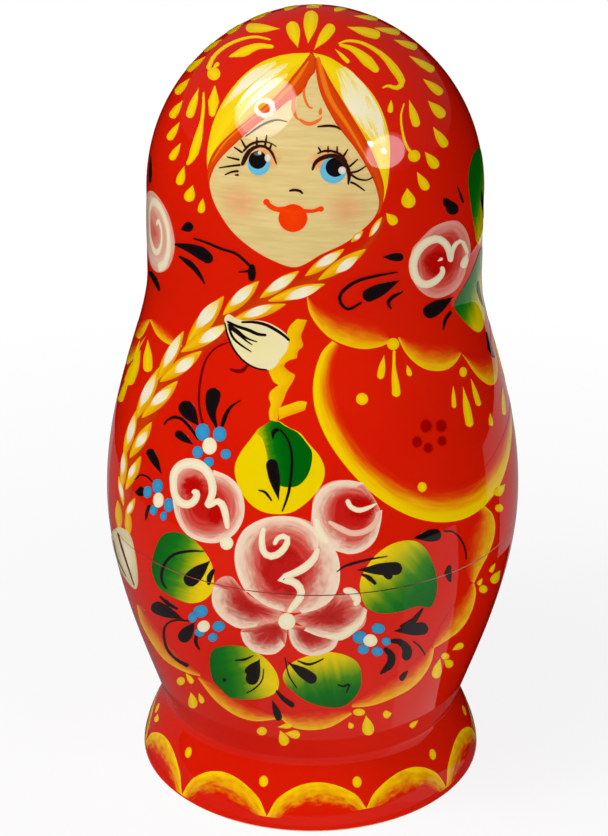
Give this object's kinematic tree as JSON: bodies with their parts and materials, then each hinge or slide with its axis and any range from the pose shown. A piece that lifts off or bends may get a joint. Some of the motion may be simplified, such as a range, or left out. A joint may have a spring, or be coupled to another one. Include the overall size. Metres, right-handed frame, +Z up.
{
  "type": "nesting doll",
  "caption": "Turned wooden nesting doll with a flared foot that parts at the belly and holds ever smaller dolls inside, painted and lacquered.",
  "frame": {"origin": "middle of the outer doll's foot, on the surface it stands on", "axes": "+Z up along the turning axis, -Y the way the painted faces look, +X to the viewer's right"},
  "size_m": [0.1068, 0.1068, 0.2],
  "materials": {
    "painted_wood": "red paint under gloss lacquer"
  },
  "bodies": {
    "doll_1_bottom": {"doll_1_bottom": "painted_wood"},
    "doll_1_top": {"doll_1_top": "painted_wood"},
    "doll_2_bottom": {"doll_2_bottom": "painted_wood"},
    "doll_2_top": {"doll_2_top": "painted_wood"},
    "doll_3_bottom": {"doll_3_bottom": "painted_wood"},
    "doll_3_top": {"doll_3_top": "painted_wood"},
    "doll_4_bottom": {"doll_4_bottom": "painted_wood"},
    "doll_4_top": {"doll_4_top": "painted_wood"},
    "doll_5_bottom": {"doll_5_bottom": "painted_wood"},
    "doll_5_top": {"doll_5_top": "painted_wood"},
    "doll_6_bottom": {"doll_6_bottom": "painted_wood"},
    "doll_6_top": {"doll_6_top": "painted_wood"},
    "seed_doll": {"seed_doll": "painted_wood"}
  },
  "joints": [
    {"name": "doll_2_bottom_lift", "type": "slide", "parent": "doll_1_bottom", "child": "doll_2_bottom", "axis": [0, 0, 1], "range_m": [0, 0.065]},
    {"name": "doll_3_bottom_lift", "type": "slide", "parent": "doll_2_bottom", "child": "doll_3_bottom", "axis": [0, 0, 1], "range_m": [0, 0.055]},
    {"name": "doll_4_bottom_lift", "type": "slide", "parent": "doll_3_bottom", "child": "doll_4_bottom", "axis": [0, 0, 1], "range_m": [0, 0.045]},
    {"name": "doll_5_bottom_lift", "type": "slide", "parent": "doll_4_bottom", "child": "doll_5_bottom", "axis": [0, 0, 1], "range_m": [0, 0.04]},
    {"name": "doll_6_bottom_lift", "type": "slide", "parent": "doll_5_bottom", "child": "doll_6_bottom", "axis": [0, 0, 1], "range_m": [0, 0.035]},
    {"name": "seed_doll_lift", "type": "slide", "parent": "doll_6_bottom", "child": "seed_doll", "axis": [0, 0, 1], "range_m": [0, 0.03]},
    {"name": "doll_6_top_lift", "type": "slide", "parent": "seed_doll", "child": "doll_6_top", "axis": [0, 0, 1], "range_m": [0, 0.045]},
    {"name": "doll_5_top_lift", "type": "slide", "parent": "doll_6_top", "child": "doll_5_top", "axis": [0, 0, 1], "range_m": [0, 0.055]},
    {"name": "doll_4_top_lift", "type": "slide", "parent": "doll_5_top", "child": "doll_4_top", "axis": [0, 0, 1], "range_m": [0, 0.07]},
    {"name": "doll_3_top_lift", "type": "slide", "parent": "doll_4_top", "child": "doll_3_top", "axis": [0, 0, 1], "range_m": [0, 0.085]},
    {"name": "doll_2_top_lift", "type": "slide", "parent": "doll_3_top", "child": "doll_2_top", "axis": [0, 0, 1], "range_m": [0, 0.1]},
    {"name": "doll_1_top_lift", "type": "slide", "parent": "doll_2_top", "child": "doll_1_top", "axis": [0, 0, 1], "range_m": [0, 0.125]}
  ]
}
